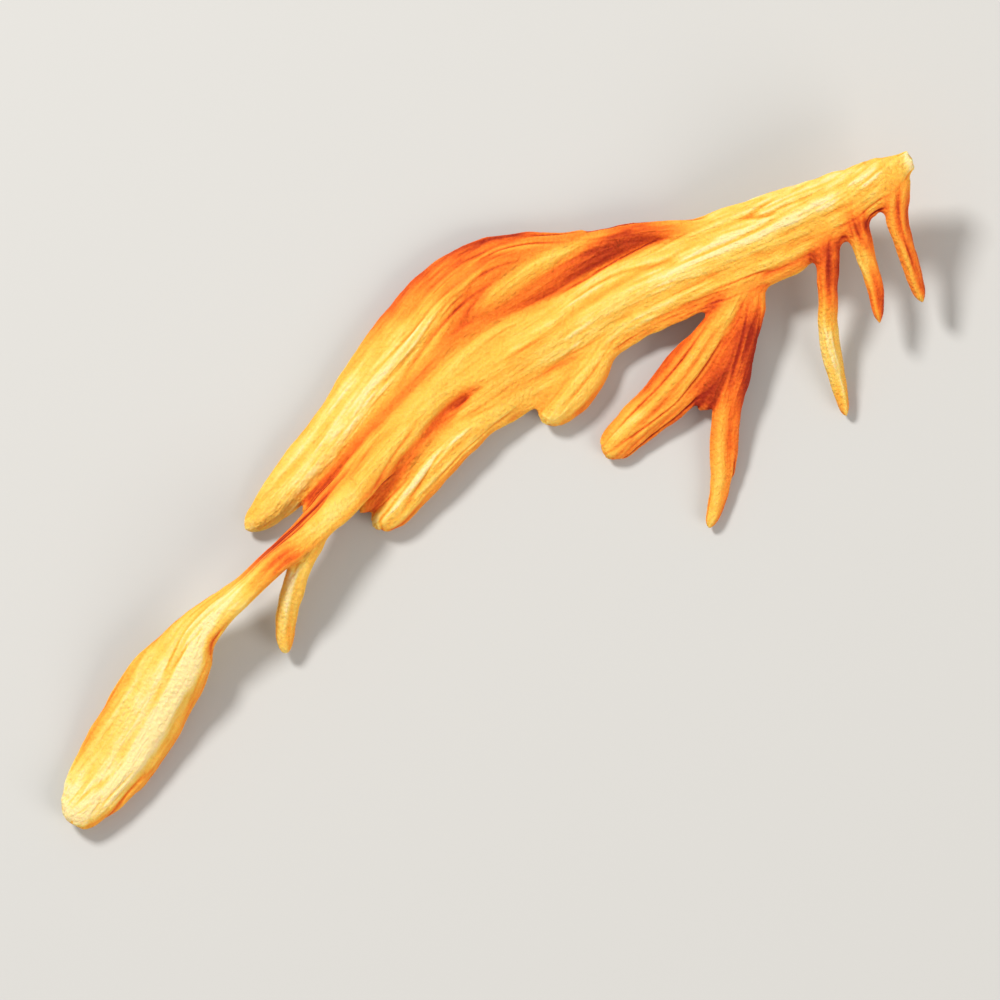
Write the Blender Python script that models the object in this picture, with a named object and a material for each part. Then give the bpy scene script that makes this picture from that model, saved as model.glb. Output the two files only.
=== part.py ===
# A dried cordyceps fruiting body, lying on its flat side.
#
# One narrow stalk widens into a flattened blade of fused strands. The blade forks into an upper
# club, a middle finger that turns on edge and ends in the long club, and a lower finger. A lobe, a
# prong and thin shoots leave the lower edge. It lies on the plane z = 0, and +X runs along it
# towards the cut end of the stalk.

import math

import bmesh
import bpy
from mathutils import Matrix, Vector

MM = 0.001

# Driving dimensions
OVERALL_LENGTH = 66.4 * MM  # tip of the long club to the cut end of the stalk
BLADE_WIDTH = 6.0 * MM
BLADE_THICKNESS = 2.2 * MM
CLUB_WIDTH = 4.8 * MM
CLUB_THICKNESS = 2.2 * MM
FINGER_WIDTH = 3.0 * MM
FINGER_THICKNESS = 1.8 * MM
PRONG_WIDTH = 3.4 * MM
PRONG_THICKNESS = 1.6 * MM
SHOOT_WIDTH = 1.4 * MM
SIDE_SHOOT_WIDTH = 1.8 * MM
SHOOT_THICKNESS = 1.15 * MM
FORK_GAP = 0.3 * MM  # left between two pieces where they meet

# How finely the sections are set
RING_SPACING = 1.3 * MM
RING_SIDES = 16
SHOOT_SIDES = 12
THINNING = 0.6  # a narrow stretch thins less than it narrows: thickness share = width share ** this

# The plan below is drawn for a body of this length, with its middle here.
PLAN_LENGTH = 66.4
PLAN_MIDDLE = (0.14, 1.05)
SCALE = OVERALL_LENGTH / PLAN_LENGTH  # metres for one unit of the plan

# Each strand's stations: along, across and height of its centre in the plan's units, the share of
# the strand's full width there, and its turn about its own length in degrees.
TRUNK = {
    "width": BLADE_WIDTH,
    "thickness": BLADE_THICKNESS,
    "sides": RING_SIDES,
    "stations": [
        (33.3, -0.2, 5.60, 0.20, 0),
        (31.6, 0.02, 5.35, 0.41, 0),
        (29.6, 0.2, 4.85, 0.60, -6),
        (26.6, 0.72, 3.95, 0.80, -8),
        (23.2, 1.5, 3.00, 0.93, -6),
        (20.8, 2.1, 2.40, 0.93, -4),
        (18.5, 2.75, 1.85, 0.89, -3),
        (16.0, 3.4, 1.40, 0.88, 0),
        (14.0, 3.87, 1.14, 0.89, 0),
        (11.7, 4.1, 1.02, 0.95, 0),
        (9.5, 4.2, 0.98, 1.00, 0),
        (6.0, 4.55, 1.10, 0.94, 0),
        (3.2, 4.75, 1.35, 0.89, 0),
    ],
}
MIDDLE = {
    "width": CLUB_WIDTH,
    "thickness": CLUB_THICKNESS,
    "sides": RING_SIDES,
    "stations": [
        (2.9, 5.9, 1.40, 0.60, 0),
        (0.9, 6.1, 1.50, 0.62, 5),
        (-3.0, 5.6, 1.85, 0.60, 12),
        (-6.9, 4.9, 2.50, 0.58, 22),
        (-10.2, 4.45, 3.20, 0.52, 36),
        (-12.8, 4.35, 3.55, 0.46, 48),
        (-15.2, 4.05, 3.45, 0.45, 42),
        (-17.7, 3.95, 3.05, 0.50, 26),
        (-19.6, 3.7, 2.66, 0.63, 14),
        (-21.2, 3.1, 2.32, 0.85, 4),
        (-22.8, 2.5, 2.00, 1.00, -4),
        (-25.5, 1.5, 1.42, 1.04, -8),
        (-27.9, 0.65, 1.05, 1.00, -4),
        (-30.0, -0.05, 0.96, 0.89, 0),
        (-31.7, -0.45, 1.05, 0.66, 0),
        (-32.65, -0.42, 1.15, 0.47, 0),
        (-33.05, -0.4, 1.20, 0.26, 0),
    ],
}
UPPER = {
    "width": CLUB_WIDTH,
    "thickness": CLUB_THICKNESS,
    "sides": RING_SIDES,
    "stations": [
        (22.0, 3.6, 2.60, 0.20, 0),
        (19.4, 5.4, 2.10, 0.23, 0),
        (17.0, 6.9, 1.75, 0.26, 0),
        (14.6, 8.1, 1.50, 0.28, 0),
        (12.8, 8.85, 1.36, 0.42, 2),
        (11.0, 9.6, 1.30, 0.66, 3),
        (9.0, 10.2, 1.18, 0.88, 3),
        (6.2, 10.5, 1.08, 1.00, 3),
        (2.5, 10.3, 1.08, 0.96, 3),
        (-1.4, 9.35, 1.05, 0.79, 3),
        (-4.8, 8.45, 1.00, 0.70, 2),
        (-8.3, 7.6, 0.96, 0.63, 2),
        (-11.3, 7.0, 0.80, 0.45, 0),
        (-12.8, 6.9, 0.74, 0.28, 0),
        (-13.3, 6.85, 0.74, 0.13, 0),
    ],
}
LOWER = {
    "width": FINGER_WIDTH,
    "thickness": FINGER_THICKNESS,
    "sides": RING_SIDES,
    "stations": [
        (2.9, 3.35, 1.30, 0.78, 0),
        (0.6, 3.3, 1.32, 0.84, 0),
        (-1.6, 3.05, 1.25, 0.93, 0),
        (-3.6, 2.6, 1.12, 0.92, 0),
        (-5.2, 2.3, 1.00, 0.82, 0),
        (-6.3, 2.25, 0.95, 0.60, 0),
        (-6.9, 2.25, 0.94, 0.32, 0),
    ],
}
LOBE = {
    "width": FINGER_WIDTH,
    "thickness": FINGER_THICKNESS,
    "sides": SHOOT_SIDES,
    "stations": [
        (12.4, 3.2, 1.06, 0.70, 0),
        (10.6, 2.15, 1.00, 0.90, 0),
        (8.8, 1.6, 1.00, 0.96, 0),
        (7.2, 1.25, 0.96, 0.88, 0),
        (6.0, 1.0, 0.90, 0.64, 0),
        (5.4, 0.85, 0.86, 0.34, 0),
    ],
}
PRONG = {
    "width": PRONG_WIDTH,
    "thickness": PRONG_THICKNESS,
    "sides": SHOOT_SIDES,
    "stations": [
        (22.6, 1.0, 2.90, 0.46, 0),
        (20.5, 0.0, 2.45, 0.59, 0),
        (18.8, -0.8, 2.12, 0.71, 0),
        (17.0, -1.45, 1.78, 0.84, 0),
        (15.0, -2.1, 1.45, 0.98, 0),
        (13.0, -2.5, 1.14, 0.94, 0),
        (11.3, -2.65, 0.94, 0.83, 0),
        (9.6, -2.8, 0.70, 0.79, 0),
        (8.3, -2.95, 0.60, 0.66, 0),
        (7.6, -3.1, 0.58, 0.47, 0),
        (7.25, -3.2, 0.58, 0.24, 0),
    ],
}


def shoot_strand(*stations, width=SHOOT_WIDTH):
    return {
        "width": width,
        "thickness": SHOOT_THICKNESS,
        "sides": SHOOT_SIDES,
        "stations": stations,
    }


SIDE_SHOOT = shoot_strand(
    (21.5, 0.3, 2.55, 0.54, 0),
    (20.0, -1.7, 2.22, 0.74, 0),
    (17.9, -3.3, 1.92, 0.87, 0),
    (15.7, -4.8, 1.55, 0.97, 0),
    (13.9, -6.6, 1.12, 1.00, 0),
    (12.3, -8.4, 0.80, 0.86, 0),
    (10.7, -9.8, 0.64, 0.62, 0),
    (9.5, -10.6, 0.56, 0.28, 0),
    width=SIDE_SHOOT_WIDTH,
)
BASE_SHOOT_1 = shoot_strand(
    (26.9, 0.2, 3.90, 0.70, 0),
    (26.0, -1.5, 3.70, 0.92, 0),
    (24.1, -3.7, 3.00, 0.97, 0),
    (22.9, -5.7, 2.10, 1.00, 0),
    (21.9, -7.7, 1.25, 0.84, 0),
    (21.2, -9.4, 0.75, 0.56, 0),
    (20.8, -10.3, 0.58, 0.22, 0),
)
BASE_SHOOT_2 = shoot_strand(
    (29.0, 0.2, 4.60, 0.60, 0),
    (28.3, -1.2, 4.35, 0.80, 0),
    (27.4, -3.3, 3.75, 0.86, 0),
    (26.7, -5.0, 3.30, 0.74, 0),
    (26.1, -6.2, 3.05, 0.50, 0),
    (25.7, -7.0, 2.95, 0.22, 0),
)
BASE_SHOOT_3 = shoot_strand(
    (32.3, 0.0, 5.38, 0.60, 0),
    (31.7, -1.05, 5.16, 0.95, 0),
    (30.4, -2.9, 4.55, 0.95, 0),
    (29.5, -5.1, 3.65, 0.84, 0),
    (28.9, -6.8, 2.98, 0.58, 0),
    (28.65, -7.6, 2.70, 0.24, 0),
)
TWIG = shoot_strand(
    (-7.0, 4.9, 2.75, 0.75, 0),
    (-9.2, 4.1, 3.10, 1.00, 0),
    (-11.75, 2.9, 3.05, 1.08, 0),
    (-13.85, 1.5, 2.18, 1.00, 0),
    (-15.2, 0.1, 1.35, 0.80, 0),
    (-15.9, -0.75, 1.00, 0.42, 0),
)
BLADE_START = 21.0  # along the plan, where the stalk ends and the blade starts
TWIG_FORK = -9.0  # along the plan, where the middle finger ends and the long club starts

# Colours of the dried flesh, from the paler clubs to the redder shoots
CLUB_COLOUR = (0.90, 0.47, 0.08)
BLADE_COLOUR = (0.86, 0.40, 0.06)
SHOOT_COLOUR = (0.78, 0.26, 0.03)
FLESH_ROUGHNESS = 0.6

FLOOR_CUTTER_SIZE = 120 * MM


def clear_scene():
    for thing in list(bpy.data.objects):
        bpy.data.objects.remove(thing)


def new_collection(name):
    collection = bpy.data.collections.new(name)
    bpy.context.scene.collection.children.link(collection)
    return collection


def flesh(name, colour):
    material = bpy.data.materials.new(name)
    material.use_nodes = True
    shader = material.node_tree.nodes["Principled BSDF"]
    shader.inputs["Base Color"].default_value = (*colour, 1)
    shader.inputs["Roughness"].default_value = FLESH_ROUGHNESS
    shader.inputs["Metallic"].default_value = 0
    return material


def between(before, here, there, after, share):
    # Catmull-Rom: a smooth value between `here` and `there`
    bend = 2 * before - 5 * here + 4 * there - after
    swing = 3 * here - before - 3 * there + after
    return here + 0.5 * share * (there - before + share * (bend + share * swing))


def sections(strand):
    # One (centre, half width, half thickness, turn) for each ring along the strand
    stations = strand["stations"]
    found = []
    for i in range(len(stations) - 1):
        four = [stations[min(max(k, 0), len(stations) - 1)] for k in range(i - 1, i + 3)]
        length = (Vector(four[2][:3]) - Vector(four[1][:3])).length * SCALE
        steps = max(1, round(length / RING_SPACING))
        last = i == len(stations) - 2
        for step in range(steps + last):
            along, across, height, share, turn = (
                between(*values, step / steps) for values in zip(*four)
            )
            centre = Vector((along - PLAN_MIDDLE[0], across - PLAN_MIDDLE[1], height))
            half_width = strand["width"] / 2 * share
            half_thickness = strand["thickness"] / 2 * share**THINNING
            found.append((centre * SCALE, half_width, half_thickness, math.radians(turn)))
    return found


def ring_points(section, direction, sides):
    # An ellipse across the strand, level before its turn
    centre, half_width, half_thickness, turn = section
    level = direction.cross(Vector((0, 0, 1))).normalized()
    lift = level.cross(direction).normalized()
    turned = Matrix.Rotation(turn, 3, direction)
    level = turned @ level
    lift = turned @ lift
    angles = [2 * math.pi * k / sides for k in range(sides)]
    return [
        centre + level * half_width * math.cos(a) + lift * half_thickness * math.sin(a)
        for a in angles
    ]


def directions(found):
    centres = [section[0] for section in found]
    last = len(centres) - 1
    return [
        (centres[min(i + 1, last)] - centres[max(i - 1, 0)]).normalized() for i in range(last + 1)
    ]


def loft(name, found, sides):
    # A closed skin through unlike rings, with a flat cap at each end
    mesh = bpy.data.meshes.new(name)
    skin = bmesh.new()
    rings = []
    for section, direction in zip(found, directions(found)):
        rings.append([skin.verts.new(p) for p in ring_points(section, direction, sides)])
    for ring, following in zip(rings, rings[1:]):
        for k in range(sides):
            other = (k + 1) % sides
            skin.faces.new((ring[k], ring[other], following[other], following[k]))
    skin.faces.new(rings[0])
    skin.faces.new(rings[-1])
    bmesh.ops.recalc_face_normals(skin, faces=skin.faces)
    skin.to_mesh(mesh)
    skin.free()
    mesh.shade_smooth()
    mesh.set_sharp_from_angle(angle=math.radians(50))
    return bpy.data.objects.new(name, mesh)


def split_sections(found, along):
    # Two runs that part at a place along the plan, with half the gap taken from each
    place = (along - PLAN_MIDDLE[0]) * SCALE
    index = min(range(len(found)), key=lambda i: abs(found[i][0].x - place))
    centre, *rest = found[index]
    step = (found[index + 1][0] - found[index - 1][0]).normalized() * FORK_GAP / 2
    return (
        found[:index] + [(centre - step, *rest)],
        [(centre + step, *rest)] + found[index + 1 :],
    )


def as_cutter(piece, cutters):
    # The piece's own shape, fatter by the gap
    cutter = bpy.data.objects.new("around_" + piece.name, piece.data.copy())
    swell = cutter.modifiers.new("gap", "DISPLACE")
    swell.strength = FORK_GAP
    swell.mid_level = 0
    cutter.hide_render = True
    cutter.display_type = "WIRE"
    cutters.objects.link(cutter)
    return cutter


def floor_cutter(cutters):
    mesh = bpy.data.meshes.new("below_the_floor")
    block = bmesh.new()
    bmesh.ops.create_cube(block, size=FLOOR_CUTTER_SIZE)
    block.to_mesh(mesh)
    block.free()
    cutter = bpy.data.objects.new("below_the_floor", mesh)
    cutter.location.z = -FLOOR_CUTTER_SIZE / 2
    cutter.hide_render = True
    cutter.display_type = "WIRE"
    cutters.objects.link(cutter)
    return cutter


def cut(piece, cutter):
    taken = piece.modifiers.new("cut_by_" + cutter.name, "BOOLEAN")
    taken.operation = "DIFFERENCE"
    taken.solver = "EXACT"
    taken.object = cutter


def main():
    clear_scene()
    body = new_collection("dried_cordyceps")
    cutters = new_collection("cutters")
    club_flesh = flesh("club_flesh", CLUB_COLOUR)
    blade_flesh = flesh("blade_flesh", BLADE_COLOUR)
    shoot_flesh = flesh("shoot_flesh", SHOOT_COLOUR)

    stalk, blade = split_sections(sections(TRUNK), BLADE_START)
    middle_finger, long_club = split_sections(sections(MIDDLE), TWIG_FORK)

    # Name, strand, its rings, flesh, and the earlier pieces that it grows from or lies against
    grown = [
        ("stalk", TRUNK, stalk, blade_flesh, ()),
        ("blade", TRUNK, blade, blade_flesh, ()),
        ("middle_finger", MIDDLE, middle_finger, blade_flesh, ()),
        ("long_club", MIDDLE, long_club, club_flesh, ()),
        ("upper_club", UPPER, sections(UPPER), club_flesh, ("stalk", "blade", "middle_finger")),
        ("lower_finger", LOWER, sections(LOWER), blade_flesh, ("blade", "middle_finger")),
        ("side_lobe", LOBE, sections(LOBE), blade_flesh, ("blade",)),
        ("lower_prong", PRONG, sections(PRONG), blade_flesh, ("stalk", "blade")),
        (
            "side_shoot",
            SIDE_SHOOT,
            sections(SIDE_SHOOT),
            shoot_flesh,
            ("stalk", "blade", "lower_prong"),
        ),
        ("base_shoot_1", BASE_SHOOT_1, sections(BASE_SHOOT_1), shoot_flesh, ("stalk",)),
        ("base_shoot_2", BASE_SHOOT_2, sections(BASE_SHOOT_2), shoot_flesh, ("stalk",)),
        ("base_shoot_3", BASE_SHOOT_3, sections(BASE_SHOOT_3), shoot_flesh, ("stalk",)),
        ("twig", TWIG, sections(TWIG), shoot_flesh, ("long_club", "middle_finger")),
    ]
    floor = floor_cutter(cutters)
    around = {}
    for name, strand, found, material, neighbours in grown:
        piece = loft(name, found, strand["sides"])
        piece.data.materials.append(material)
        body.objects.link(piece)
        around[name] = as_cutter(piece, cutters)
        for neighbour in neighbours:
            cut(piece, around[neighbour])
        cut(piece, floor)


main()
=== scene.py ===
import math

import bpy
import numpy as np
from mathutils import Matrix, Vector, kdtree, noise


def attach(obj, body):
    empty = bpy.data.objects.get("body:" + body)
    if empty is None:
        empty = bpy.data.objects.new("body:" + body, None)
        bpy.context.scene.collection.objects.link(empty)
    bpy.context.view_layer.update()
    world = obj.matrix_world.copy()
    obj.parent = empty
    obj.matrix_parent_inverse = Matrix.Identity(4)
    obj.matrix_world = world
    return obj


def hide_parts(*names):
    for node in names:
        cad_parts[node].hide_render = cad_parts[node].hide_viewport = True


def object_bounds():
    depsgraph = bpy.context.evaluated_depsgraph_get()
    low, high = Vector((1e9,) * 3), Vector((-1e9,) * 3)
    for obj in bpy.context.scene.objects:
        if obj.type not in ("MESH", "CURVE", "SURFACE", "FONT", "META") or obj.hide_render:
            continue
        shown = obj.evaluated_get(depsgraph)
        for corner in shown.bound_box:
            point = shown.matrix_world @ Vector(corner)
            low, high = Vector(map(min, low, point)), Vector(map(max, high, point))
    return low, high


# A dried cordyceps fruiting body: one wrinkled skin over all the solids of the frame.
# It is shaped in the plan's millimetres and set onto the frame's box at the end.

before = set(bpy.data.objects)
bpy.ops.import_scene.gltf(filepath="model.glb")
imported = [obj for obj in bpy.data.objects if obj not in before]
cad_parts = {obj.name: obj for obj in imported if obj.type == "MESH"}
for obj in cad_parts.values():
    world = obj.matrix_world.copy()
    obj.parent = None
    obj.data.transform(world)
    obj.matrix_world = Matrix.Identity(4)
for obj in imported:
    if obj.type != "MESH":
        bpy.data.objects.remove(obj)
frameLow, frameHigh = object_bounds()

body = {
    "planMiddle": (0.14, 1.05),  # the plan's point over the frame's origin
    "planLength": 66.515,  # the frame's box along X, in the plan's millimetres
    "thinning": 0.6,  # a narrow stretch thins less than it narrows
    "ringSpacing": 0.22,
    "ringSides": 88,
    "bluntness": 0.92,  # power of the section's cosine: under 1 is squarer than an ellipse
    "shoulder": 0.72,  # power of the top's fall to the edges
    "tipRounding": 0.7,  # how far back from its end a strand starts to round off
    "tipLeast": 0.02,  # keeps the last ring a little open
    "foldFade": (0.22, 0.80),  # shares of a fold's length where it is fully open and closes again
    "bowLevel": 0.35,  # a bowed strand keeps its height where its place across, squared, is this
    "curlPower": 3,  # how near to its edges a strand curls
    "seeds": (11.3, 5.9),  # the first strand's, and the step to the next one's
    "foldSeed": 1.7,
    "edgeSeeds": (21, 43),
    "waveSeeds": (7.31, 3.17),
}
strays = {  # slow waves along a strand: change per millimetre, amount and a seed of their own
    "route": (0.22, 1.0, 0),
    "twist": (0.13, 1.0, 70),
    "crest": (0.16, 0.12, 51),
    "fold": (0.25, 0.10, 0),
    "edge": (0.30, 1.0, 0),
    "edgeJag": (1.1, 0.6, 5),
    "curl": (0.16, 2.0, 9),
    "bow": (0.12, 0.06, 63),
    "band": (0.30, 1.0, 0),
}

# A strand's stations are along, across, height, share of the full width and turn in degrees.
# Its crest is where across it, from -1 to 1, its top is highest, from its start to its end, and
# its roof is how round the top is: 1 a ridge, 2 a dome. A fold is its side (1 on top, -1
# underneath), where it starts and ends along the strand, its place across it at both ends, its
# depth and its breadth. A band is a paler or redder stripe: start, end, place at both ends,
# breadth and amount. The pale bands are painted highlights along the crests and lit edges, the
# red ones painted shade in creases and along the edges away from the light. Tones run from 0,
# red, to 1, pale: the strand's own colour along its length, and where they drop low, painted
# shade where it lies in a gap beside or under another strand. Camber is how far the edges lie
# above the middle, in half thicknesses, and curl how far they stray up and down. Wander is how
# far the edges, the route and the turn stray.
trunk = {
    "width": 6.0,
    "thickness": 2.2,
    "crest": [(0.0, 0.30), (0.3, 0.22), (0.5, 0.02), (0.7, 0.30), (1.0, 0.40)],
    "roof": 1.65,
    "stations": [
        (33.3, -0.1, 5.60, 0.22, 0),
        (31.6, 0.1, 5.35, 0.41, 0),
        (29.6, 0.2, 4.85, 0.60, -6),
        (26.6, 0.72, 3.95, 0.80, -8),
        (23.2, 1.5, 3.00, 0.93, -6),
        (20.8, 2.15, 2.40, 0.95, -4),
        (18.5, 2.85, 1.85, 0.94, -3),
        (16.0, 3.5, 1.40, 0.93, 0),
        (14.0, 3.95, 1.14, 0.92, 0),
        (11.7, 4.15, 1.02, 0.96, 0),
        (9.5, 4.2, 0.98, 1.00, 0),
        (6.0, 4.55, 1.10, 0.94, 0),
        (3.2, 4.75, 1.24, 0.88, 0),
        (0.8, 4.85, 1.12, 0.62, 0),
        (-1.4, 4.7, 1.20, 0.36, 0),
        (-2.5, 4.5, 1.35, 0.14, 0),
    ],
    "folds": [
        (1, 0.02, 0.30, -0.10, 0.05, 0.16, 0.12),
        (1, 0.10, 0.52, 0.62, 0.66, 0.16, 0.12),
        (1, 0.12, 0.66, -0.30, -0.32, 0.22, 0.13),
        (1, 0.34, 0.74, 0.42, 0.26, 0.16, 0.12),
        (1, 0.81, 1.20, 0.18, -0.20, 0.90, 0.12),
        (1, 0.20, 0.55, -0.72, -0.78, 0.24, 0.10),
        (1, 0.60, 0.84, -0.52, -0.36, 0.34, 0.12),
        (1, 0.56, 0.80, 0.74, 0.62, 0.16, 0.10),
        (-1, 0.05, 0.85, 0.15, -0.30, 0.36, 0.14),
        (-1, 0.25, 1.10, 0.55, 0.35, 0.32, 0.12),
        (-1, 0.40, 0.95, -0.70, -0.52, 0.25, 0.10),
    ],
    # Painted highlights on the stalk's upper half and along its upper edge; painted shade along the
    # lower edge, in the slit and in the creases
    "bands": [
        (0.00, 0.52, 0.36, 0.14, 0.22, 0.14),
        (0.02, 0.45, 0.92, 0.90, 0.14, 0.12),
        (0.00, 0.56, -0.95, -0.92, 0.40, -0.24),
        (0.50, 0.62, -0.95, -0.95, 0.20, -0.10),
        (0.66, 0.95, 0.62, 0.70, 0.20, 0.06),
        (0.60, 0.84, -0.52, -0.38, 0.13, -0.12),
        (0.24, 0.80, 0.10, 0.05, 0.50, 0.04),
        (0.82, 1.10, 0.18, -0.10, 0.18, -0.40),
        (0.69, 0.78, 0.24, 0.22, 0.12, -0.14),
    ],
    "tones": [(0.0, 0.84), (0.03, 0.72), (0.3, 0.68), (0.5, 0.70), (0.8, 0.66), (1.0, 0.56)],
    "camber": 0.04,
    "curl": 0.18,
    "wander": (0.055, 0.10, 4),
    "fray": (0.35, 2.4, 1.2),  # its broken end's depth, change round the end, and reach
    "wrinkles": 0.85,
}
middle = {
    "width": 4.8,
    "thickness": 2.2,
    "crest": [(0.0, 0.1), (0.3, -0.25), (0.62, -0.30), (0.74, -0.45), (0.86, -0.50), (1.0, -0.15)],
    "roof": 1.55,
    "stations": [
        (9.8, 5.2, 1.05, 0.30, 0),
        (6.2, 5.7, 1.22, 0.48, 0),
        (2.9, 6.05, 1.40, 0.56, 0),
        (0.9, 6.2, 1.50, 0.56, 5),
        (-3.0, 5.75, 1.80, 0.60, 12),
        (-6.9, 4.95, 2.45, 0.60, 22),
        (-10.2, 4.45, 3.15, 0.53, 36),
        (-12.8, 4.35, 3.50, 0.47, 48),
        (-15.2, 4.05, 3.42, 0.46, 42),
        (-17.7, 3.95, 3.05, 0.51, 26),
        (-19.6, 3.7, 2.66, 0.64, 14),
        (-21.2, 3.1, 2.32, 0.85, 4),
        (-22.8, 2.5, 2.00, 1.00, -4),
        (-25.5, 1.5, 1.42, 1.04, -8),
        (-27.9, 0.65, 1.05, 1.00, -4),
        (-30.0, -0.05, 0.96, 0.89, 0),
        (-31.7, -0.45, 1.05, 0.68, 0),
        (-32.65, -0.42, 1.12, 0.49, 0),
        (-33.05, -0.4, 1.15, 0.28, 0),
    ],
    "folds": [
        (1, 0.09, 0.27, -0.36, -1.00, 0.70, 0.13),
        (1, 0.16, 0.40, 0.35, 0.30, 0.20, 0.16),
        (1, 0.30, 0.62, 0.50, 0.42, 0.26, 0.18),
        (1, 0.36, 0.60, -0.70, -0.62, 0.20, 0.14),
        (1, 0.62, 0.93, 0.12, -0.02, 0.12, 0.16),
        (1, 0.66, 0.90, 0.56, 0.50, 0.16, 0.14),
        (1, 0.70, 0.96, -0.78, -0.72, 0.18, 0.10),
        (-1, 0.05, 0.60, -0.10, 0.20, 0.40, 0.18),
        (-1, 0.50, 0.95, 0.10, -0.25, 0.30, 0.14),
    ],
    # Painted highlights along the finger's lower ridge and the long club's cream band; painted
    # shade in the creases and along the flanks and edges
    "bands": [
        (0.09, 0.27, -0.36, -1.00, 0.14, -0.36),
        (0.14, 0.42, 0.90, 0.85, 0.40, -0.10),
        (0.34, 0.68, 0.82, 0.80, 0.46, -0.28),
        (0.36, 0.51, -0.60, -0.65, 0.45, 0.28),
        (0.38, 0.53, 0.35, 0.35, 0.40, -0.13),
        (0.54, 0.70, -0.90, -0.85, 0.36, -0.14),
        (0.60, 0.97, 0.66, 0.60, 0.34, -0.12),
        (0.22, 0.62, -0.30, -0.25, 0.30, 0.10),
        (0.28, 0.44, -0.95, -0.90, 0.22, -0.12),
        (0.58, 0.97, -0.22, -0.32, 0.40, 0.10),
        (0.60, 1.00, -0.96, -0.96, 0.25, -0.44),
        (0.66, 0.92, 0.10, 0.00, 0.14, -0.07),
        (0.56, 0.97, 1.00, 0.98, 0.22, -0.34),
    ],
    "tones": [
        (0.0, 0.66),
        (0.2, 0.62),
        (0.34, 0.55),
        (0.43, 0.52),
        (0.47, 0.40),
        (0.50, 0.28),
        (0.53, 0.32),
        (0.56, 0.62),
        (0.60, 0.90),
        (0.68, 0.92),
        (1.0, 0.90),
    ],
    "camber": -0.05,
    "curl": 0.14,
    "wander": (0.05, 0.08, 5),
    "wrinkles": 0.60,
}
upper = {
    "width": 4.8,
    "thickness": 2.2,
    "crest": [(0.0, 0.0), (0.4, -0.25), (0.7, -0.20), (1.0, -0.10)],
    "roof": 1.6,
    "stations": [
        (22.0, 3.6, 2.60, 0.20, 0),
        (19.4, 5.4, 2.10, 0.25, 0),
        (17.0, 6.9, 1.75, 0.27, 0),
        (14.6, 8.2, 1.50, 0.29, 0),
        (12.7, 9.35, 1.40, 0.34, 2),
        (11.0, 10.25, 1.36, 0.46, 3),
        (9.0, 10.9, 1.28, 0.62, 3),
        (6.2, 11.05, 1.20, 0.80, 3),
        (2.5, 10.35, 1.15, 0.92, 3),
        (-1.4, 9.35, 1.12, 0.80, 3),
        (-4.8, 8.45, 1.05, 0.72, 2),
        (-8.3, 7.6, 0.98, 0.66, 2),
        (-11.3, 7.05, 0.84, 0.46, 0),
        (-12.8, 6.95, 0.76, 0.28, 0),
        (-13.3, 6.9, 0.75, 0.13, 0),
    ],
    "folds": [
        (1, 0.22, 0.60, 0.50, 0.38, 0.26, 0.15),
        (1, 0.32, 0.62, 0.05, 0.10, 0.18, 0.12),
        (1, 0.34, 0.66, -0.55, -0.50, 0.20, 0.12),
        (1, 0.55, 0.93, 0.40, 0.34, 0.14, 0.15),
        (-1, 0.20, 0.90, 0.00, 0.25, 0.40, 0.16),
    ],
    # A painted highlight along the club's middle; painted shade along its edges and its upper side
    # near the base
    "bands": [
        (0.46, 0.98, -0.10, -0.10, 0.34, 0.10),
        (0.40, 0.56, -0.98, -0.98, 0.26, -0.18),
        (0.24, 0.65, 0.85, 0.85, 0.40, -0.20),
        (0.46, 0.98, 0.98, 0.98, 0.26, -0.22),
        (0.60, 0.92, 0.38, 0.34, 0.16, -0.06),
    ],
    # The low tones over the first half paint the shade where the club's base lies beside the trunk
    # and the inner strand
    "tones": [
        (0.0, 0.52),
        (0.08, 0.30),
        (0.14, 0.04),
        (0.20, 0.08),
        (0.27, 0.25),
        (0.33, 0.36),
        (0.40, 0.27),
        (0.50, 0.40),
        (0.58, 0.66),
        (0.68, 0.78),
        (0.86, 0.79),
        (0.95, 0.66),
        (1.0, 0.52),
    ],
    "camber": -0.04,
    "curl": 0.16,
    "wander": (0.055, 0.10, 5),
    "wrinkles": 0.72,
}
inner = {  # the pale strand under the upper club's base
    "width": 2.2,
    "thickness": 1.5,
    "crest": [(0.0, 0.0), (1.0, 0.0)],
    "roof": 1.6,
    "stations": [
        (18.0, 6.2, 1.85, 0.30, 0),
        (15.4, 7.85, 1.58, 0.46, 0),
        (13.2, 8.55, 1.45, 0.66, 0),
        (11.0, 9.05, 1.42, 0.90, 0),
        (8.6, 9.15, 1.42, 0.92, 0),
        (6.6, 8.95, 1.40, 0.66, 0),
        (5.2, 8.7, 1.36, 0.34, 0),
    ],
    "folds": [(1, 0.16, 0.80, 0.30, 0.10, 0.18, 0.20), (-1, 0.1, 0.8, 0.0, 0.2, 0.3, 0.22)],
    # A painted highlight along its middle and painted shade along one edge; its low tones at both
    # ends are painted shade
    "bands": [(0.12, 0.85, -0.1, -0.1, 0.5, 0.06), (0.2, 1.0, 0.9, 0.9, 0.4, -0.12)],
    "tones": [(0.0, 0.16), (0.16, 0.34), (0.32, 0.64), (0.65, 0.60), (0.85, 0.42), (1.0, 0.28)],
    "camber": 0.0,
    "curl": 0.06,
    "wander": (0.06, 0.08, 6),
    "wrinkles": 0.7,
}
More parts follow.
